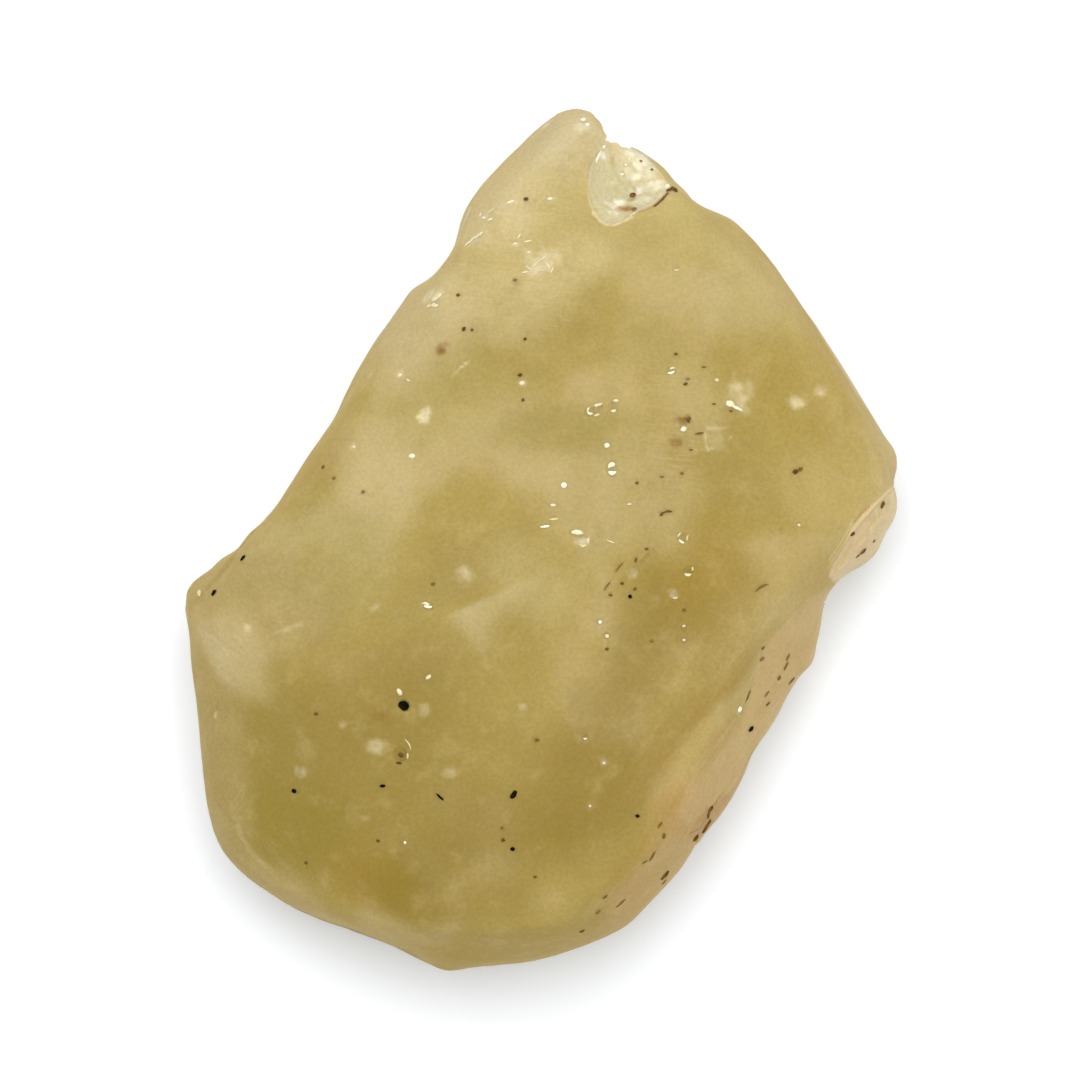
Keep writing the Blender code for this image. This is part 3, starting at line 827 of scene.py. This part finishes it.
def makeLump(mark, seed):
    place, normal, halfLength, halfWidth, turn, bow = mark
    lump = bpy.data.objects.new("lump", lumpShapes["bent" if halfLength > 0.14 * mm else "short"].copy())
    bpy.context.scene.collection.objects.link(lump)
    turned = facing(normal, turn)
    # rounder and larger where the skin turns away from the photograph
    height = 0.75 - 0.35 * abs(normal.z)
    if normal.z > 0.25:
        halfLength, halfWidth = (half * max(normal.z, 0.4) ** -0.6 for half in (halfLength, halfWidth))
    for vertex in lump.data.vertices:
        co = vertex.co * (1 + 0.25 * noise.noise(vertex.co * 1.5 + Vector((seed, 0, 0))))
        taper = 1 - 0.35 * co.x ** 2 if bow else 1.0
        co = Vector((co.x * halfLength, co.y * halfWidth * taper - bow * halfLength * co.x ** 2, co.z * halfWidth * height))
        vertex.co = place + turned @ co
        keepInside(vertex)
    return lump


def makeLumps(name, marks, material):
    lumps = [makeLump(mark, seed) for seed, mark in enumerate(marks)]
    selectOnly(*lumps)
    bpy.ops.object.join()
    lumps = bpy.context.object
    lumps.name = lumps.data.name = name
    bpy.ops.object.shade_smooth()
    lumps.data.materials.clear()
    lumps.data.materials.append(material)
    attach(lumps, "root")
    return lumps


lumpShapes = {}
for kind, divisions in (("short", 2), ("bent", 3)):
    bpy.ops.object.select_all(action="DESELECT")
    bpy.ops.mesh.primitive_ico_sphere_add(subdivisions=divisions, radius=1.0)
    lumpShapes[kind] = bpy.context.object.data
    removePiece(bpy.context.object)


# Materials

def newMaterial(name):
    material = bpy.data.materials.new(name)
    material.use_nodes = True
    nodes = material.node_tree.nodes
    return material, nodes, nodes["Principled BSDF"]


def addNode(material, kind, settings=None, **inputs):
    node = material.node_tree.nodes.new(kind)
    for name, value in (settings or {}).items():
        setattr(node, name, value)
    for name, value in inputs.items():
        feed(material, node.inputs[name], value)
    return node


def feed(material, socket, value):
    if isinstance(value, bpy.types.NodeSocket):
        material.node_tree.links.new(value, socket)
    else:
        socket.default_value = value


def maths(material, operation, first, second=0.0):
    node = addNode(material, "ShaderNodeMath", {"operation": operation})
    feed(material, node.inputs[0], first)
    feed(material, node.inputs[1], second)
    return node.outputs[0]


def vectorMaths(material, operation, first, second):
    node = addNode(material, "ShaderNodeVectorMath", {"operation": operation})
    feed(material, node.inputs[0], first)
    feed(material, node.inputs["Scale" if operation == "SCALE" else 1], second)
    return node.outputs[0]


def mixed(material, share, first, second, blend="MIX"):
    node = addNode(material, "ShaderNodeMix", {"data_type": "RGBA", "blend_type": blend})
    feed(material, node.inputs["Factor"], share)
    feed(material, node.inputs[6], first)
    feed(material, node.inputs[7], second)
    return node.outputs[2]


def rangeOf(material, value, low, high, to=(0.0, 1.0)):
    node = addNode(material, "ShaderNodeMapRange", {"interpolation_type": "SMOOTHSTEP"})
    for socket, setting in zip(node.inputs, (value, low, high, *to)):
        feed(material, socket, setting)
    return node.outputs[0]


def noiseAt(material, place, size, detail=2.0, roughness=0.5, output=0):
    node = addNode(material, "ShaderNodeTexNoise", Vector=place, Scale=1 / size, Detail=detail, Roughness=roughness)
    return node.outputs[output]


glassCast = (0.93, 0.95, 1.01)  # the green of the glass, over the whole stone
# Soft zones of colour in the glass, partly its own olive and beige tones and partly painted light and shade, lighter
# towards the top and darker towards the bottom: middle and reach in pixels, turn, colour and strength
glassTonesAndShading = {
    "top light": ((560, 190), (260, 150), 0, (212, 194, 134), 0.6),
    "horn": ((560, 132), (100, 70), 0, (214, 198, 158), 0.7),
    "chip shelf": ((602, 246), (98, 52), 10, (190, 169, 106), 0.72),
    "crackle": ((560, 274), (84, 42), 15, (220, 200, 146), 0.5),
    "pale shoulder": ((424, 336), (90, 105), -40, (212, 193, 146), 0.7),
    "pale upper left": ((384, 464), (84, 58), 50, (210, 192, 141), 0.45),
    "pale wedge": ((535, 582), (60, 60), 0, (202, 184, 126), 0.45),
    "green flank": ((310, 560), (110, 90), 0, (184, 168, 108), 0.5),
    "left edge": ((298, 474), (42, 104), -36, (174, 151, 88), 0.6),
    "olive shoulder": ((462, 394), (106, 50), 20, (186, 167, 100), 0.45),
    "olive middle": ((662, 352), (92, 54), 0, (177, 156, 84), 0.52),
    "pale above": ((490, 310), (92, 61), 0, (213, 194, 139), 0.58),
    "olive right": ((798, 380), (104, 120), 20, (180, 156, 82), 0.7),
    "right pale": ((834, 496), (60, 66), 0, (200, 178, 114), 0.65),
    "upper right": ((738, 288), (78, 68), -40, (205, 187, 135), 0.53),
    "beige centre": ((592, 474), (170, 86), -30, (198, 177, 121), 0.65),
    "olive fleck": ((555, 438), (92, 44), 0, (172, 152, 82), 0.76),
    "left flank": ((350, 528), (104, 46), 20, (188, 170, 112), 0.35),
    "left corner": ((230, 579), (70, 46), 10, (177, 156, 98), 0.75),
    "under flank": ((285, 615), (84, 54), 15, (178, 156, 98), 0.65),
    "below centre": ((450, 585), (90, 45), 20, (172, 151, 90), 0.5),
    "pool": ((362, 756), (198, 184), 0, (165, 142, 72), 0.85),
    "pool deep": ((290, 825), (110, 70), -20, (160, 139, 62), 0.8),
    "pool brown": ((380, 868), (90, 50), 0, (168, 138, 62), 0.7),
    "bottom": ((423, 888), (95, 59), -12, (151, 128, 50), 0.8),
    "pool foot": ((440, 845), (60, 40), 0, (154, 132, 60), 0.5),
    "left strip": ((224, 740), (48, 190), 4, (181, 159, 100), 0.8),
    "left crease": ((238, 654), (70, 36), -38, (210, 191, 142), 0.55),
    "scoop dark": ((668, 606), (66, 72), 10, (157, 131, 52), 0.75),
    "scoop foot": ((632, 664), (50, 92), -25, (160, 136, 64), 0.75),
    "scoop right": ((707, 564), (90, 63), 60, (169, 141, 60), 0.78),
    "right olive": ((718, 648), (60, 128), -30, (170, 145, 76), 0.54),
    "low middle": ((600, 778), (120, 100), 0, (156, 131, 60), 0.72),
    "lower": ((514, 824), (105, 70), 0, (152, 128, 54), 0.6),
    "long ridge": ((570, 640), (28, 86), -33, (192, 168, 108), 0.32),
    "pink flank": ((684, 740), (30, 110), -35, (172, 142, 78), 0.6),
    "pale strip": ((712, 728), (20, 140), -31, (204, 182, 120), 0.6),
    "horn left": ((492, 200), (60, 70), -30, (222, 203, 156), 0.6),
    "middle right": ((686, 410), (62, 58), 0, (207, 186, 130), 0.5),
    "right rim": ((882, 455), (30, 60), 10, (212, 190, 136), 0.6),
    "right band": ((766, 714), (34, 270), -38, (202, 168, 108), 0.75),
    "band top": ((795, 605), (60, 60), -40, (212, 188, 130), 0.5),
    "band low": ((705, 822), (60, 50), -36, (182, 144, 80), 0.7),
    "band foot": ((655, 890), (100, 50), 32, (178, 142, 68), 0.75),
    "upper right rim": ((850, 370), (20, 86), 32, (204, 176, 126), 0.45),
    "foot": ((600, 934), (126, 46), 14, (187, 161, 100), 0.7),
    "ridge foot": ((588, 705), (54, 62), -20, (166, 143, 78), 0.56),
    "low edge": ((505, 884), (62, 34), -6, (157, 134, 64), 0.5),
    "pool top": ((425, 650), (80, 44), 0, (167, 145, 82), 0.4),
    "right lower": ((796, 560), (52, 49), -30, (179, 152, 78), 0.34),
}


# Fine streaks, each kind with its direction, length and width in mm, and where it shows: middle and reach in
# pixels and strength
glassStreaks = {
    "fine_streaks": (-5, 0.75, 0.11, [
        ((520, 290), (120, 90), 0.15), ((665, 385), (55, 34), 0.14), ((672, 445), (48, 62), 0.2), ((560, 215), (90, 50), 0.12),
    ]),
    "edge_streaks": (-40, 1.8, 0.30, [((228, 655), (60, 45), 0.2), ((262, 850), (60, 60), 0.14), ((560, 925), (140, 40), 0.1)]),
    "band_streaks": (57, 2.8, 0.35, [((745, 720), (80, 250), 0.12), ((690, 690), (140, 200), 0.08), ((228, 745), (45, 150), 0.08)]),
}


def streakedColour(material, place, colour):
    for name, (turn, length, width, _) in glassStreaks.items():
        drawn = addNode(material, "ShaderNodeMapping", {"vector_type": "TEXTURE", "label": name},
                        Vector=place, Rotation=(0, 0, math.radians(turn)), Scale=(length, width, length))
        lines = noiseAt(material, drawn.outputs[0], 1.0, detail=3.0, roughness=0.7)
        share = addNode(material, "ShaderNodeAttribute", {"attribute_name": name}).outputs["Fac"]
        light = maths(material, "MULTIPLY", rangeOf(material, lines, 0.5, 0.75), share)
        dark = maths(material, "MULTIPLY", rangeOf(material, lines, 0.5, 0.25), share)
        colour = mixed(material, light, colour, fromSrgb(232, 212, 166))
        colour = mixed(material, dark, colour, fromSrgb(146, 116, 58))
    return colour


def mottledColour(material, place, colour):
    # the sand-worn skin: fine speckle, and patches of a millimetre or two
    speckle = noiseAt(material, place, 0.15, detail=3.0, roughness=0.7)
    patches = noiseAt(material, place, 1.3, detail=3.0, roughness=0.65)
    colour = mixed(material, rangeOf(material, patches, 0.5, 0.72, to=(0.0, 0.2)), colour, fromSrgb(208, 188, 130))
    colour = mixed(material, rangeOf(material, patches, 0.5, 0.28, to=(0.0, 0.2)), colour, fromSrgb(162, 140, 62))
    shade = rangeOf(material, speckle, 0.3, 0.7, to=(0.93, 1.07))
    return mixed(material, 1.0, colour, shade, blend="MULTIPLY")


def stoneGlass():
    material, nodes, shader = newMaterial("frosted_desert_glass")
    place = addNode(material, "ShaderNodeTexCoord").outputs["Object"]
    place = vectorMaths(material, "SCALE", place, 1 / mm)
    fresh = addNode(material, "ShaderNodeAttribute", {"attribute_name": "fresh"}).outputs["Fac"]
    tint = addNode(material, "ShaderNodeAttribute", {"attribute_name": "tint"}).outputs["Color"]
    colour = mottledColour(material, place, streakedColour(material, place, tint))
    feed(material, shader.inputs["Base Color"], colour)
    feed(material, shader.inputs["Roughness"], rangeOf(material, fresh, 0.0, 1.0, to=(0.5, 0.16)))
    shader.inputs["IOR"].default_value = 1.46
    feed(material, shader.inputs["Specular IOR Level"], rangeOf(material, fresh, 0.0, 1.0, to=(0.02, 0.25)))
    shader.inputs["Transmission Weight"].default_value = 0.05
    shader.inputs["Subsurface Weight"].default_value = 1.0
    shader.inputs["Subsurface Radius"].default_value = (1.0, 0.75, 0.35)
    shader.inputs["Subsurface Scale"].default_value = 0.7 * mm
    frost = noiseAt(material, place, 0.14, detail=2.0)
    dents = noiseAt(material, place, 0.9, detail=1.0)
    height = maths(material, "ADD", maths(material, "MULTIPLY", frost, 0.1), dents)
    bump = addNode(material, "ShaderNodeBump", Strength=0.2, Distance=0.1 * mm, Height=height)
    feed(material, shader.inputs["Normal"], bump.outputs[0])
    inside = addNode(material, "ShaderNodeVolumeAbsorption", Color=(0.68, 0.54, 0.05, 1.0), Density=60.0)
    material.node_tree.links.new(inside.outputs[0], nodes["Material Output"].inputs["Volume"])
    return material


def grainMaterial(name, colour, second, roughness, shine):
    material, _, shader = newMaterial(name)
    place = addNode(material, "ShaderNodeTexCoord").outputs["Object"]
    place = vectorMaths(material, "SCALE", place, 1 / mm)
    share = rangeOf(material, noiseAt(material, place, 0.3, detail=3.0), 0.4, 0.6)
    feed(material, shader.inputs["Base Color"], mixed(material, share, fromSrgb(*colour), fromSrgb(*second)))
    shader.inputs["Roughness"].default_value = roughness
    shader.inputs["Specular IOR Level"].default_value = shine
    bump = addNode(material, "ShaderNodeBump", Strength=0.4, Distance=0.03 * mm,
                   Height=noiseAt(material, place, 0.08, detail=2.0))
    feed(material, shader.inputs["Normal"], bump.outputs[0])
    return material


# Light, floor and camera

studio = {
    "floorSize": 0.8,
    "floorGlow": 0.14,
    "worldStrength": 0.42,
    "key": (0.67, 0.17, (-0.01, 0.06, 0.28)),  # power, size and place
    "fill": (0.06, 0.16, (0.12, -0.05, 0.2)),
}


def makeStudio():
    bpy.ops.object.select_all(action="DESELECT")
    bpy.ops.mesh.primitive_plane_add(size=studio["floorSize"], location=(0, 0, 0))
    floor = bpy.context.object
    floor.name = "white_floor"
    material, _, shader = newMaterial("white_paper")
    shader.inputs["Base Color"].default_value = (0.888, 0.918, 0.962, 1)
    shader.inputs["Roughness"].default_value = 0.9
    shader.inputs["Specular IOR Level"].default_value = 0.1
    shader.inputs["Emission Color"].default_value = (1.0, 1.0, 1.0, 1.0)
    shader.inputs["Emission Strength"].default_value = studio["floorGlow"]
    floor.data.materials.append(material)
    world = bpy.data.worlds.new("soft studio")
    world.use_nodes = True
    world.node_tree.nodes["Background"].inputs["Color"].default_value = (1.0, 1.0, 1.0, 1.0)
    world.node_tree.nodes["Background"].inputs["Strength"].default_value = studio["worldStrength"]
    bpy.context.scene.world = world
    for name in ("key", "fill"):
        power, size, place = studio[name]
        bpy.ops.object.light_add(type="AREA", location=place)
        light = bpy.context.object
        light.name = name + "_light"
        light.data.energy = power
        light.data.size = size
        light.rotation_mode = "QUATERNION"
        light.rotation_quaternion = Vector(place).to_track_quat("Z", "Y")
    bpy.context.scene.view_settings.view_transform = "Standard"


def makeCamera():
    bpy.ops.object.camera_add(location=(0, 0, cameraHeight), rotation=(0, 0, 0))
    camera = bpy.context.object
    camera.data.lens = photo["lens"]
    camera.data.sensor_width = photo["sensor"]
    camera.data.clip_start = 0.01
    camera.data.clip_end = 5.0
    bpy.context.scene.camera = camera


print("stone")
stone = makeStone()
stone.data.materials.append(stoneGlass())
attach(stone, "root")
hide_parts("desert_glass")

print("grains and glints")
makeLumps("black_grains", settle(stone, blackGrains) + scatter(stone, "black"),
          grainMaterial("black_grain", (8, 6, 2), (30, 22, 8), 0.8, 0.05))
makeLumps("umber_grains", settle(stone, umberGrains) + scatter(stone, "umber"),
          grainMaterial("umber_grain", (124, 88, 38), (94, 66, 26), 0.8, 0.02))
makeLumps("brown_grains", settle(stone, brownGrains) + scatter(stone, "brown"),
          grainMaterial("brown_grain", (140, 108, 54), (120, 90, 40), 0.8, 0.02))
# the glints are bright lumps for painted highlights; the faint ones are partly pale crackle lines
makeLumps("pale_glints", settle(stone, paleGlints), grainMaterial("pale_glint", (250, 244, 216), (236, 224, 182), 0.3, 0.3))
makeLumps("faint_glints", settle(stone, faintGlints) + scatter(stone, "glints"),
          grainMaterial("faint_glint", (234, 220, 178), (220, 204, 152), 0.4, 0.2))

print("studio")
makeStudio()
makeCamera()
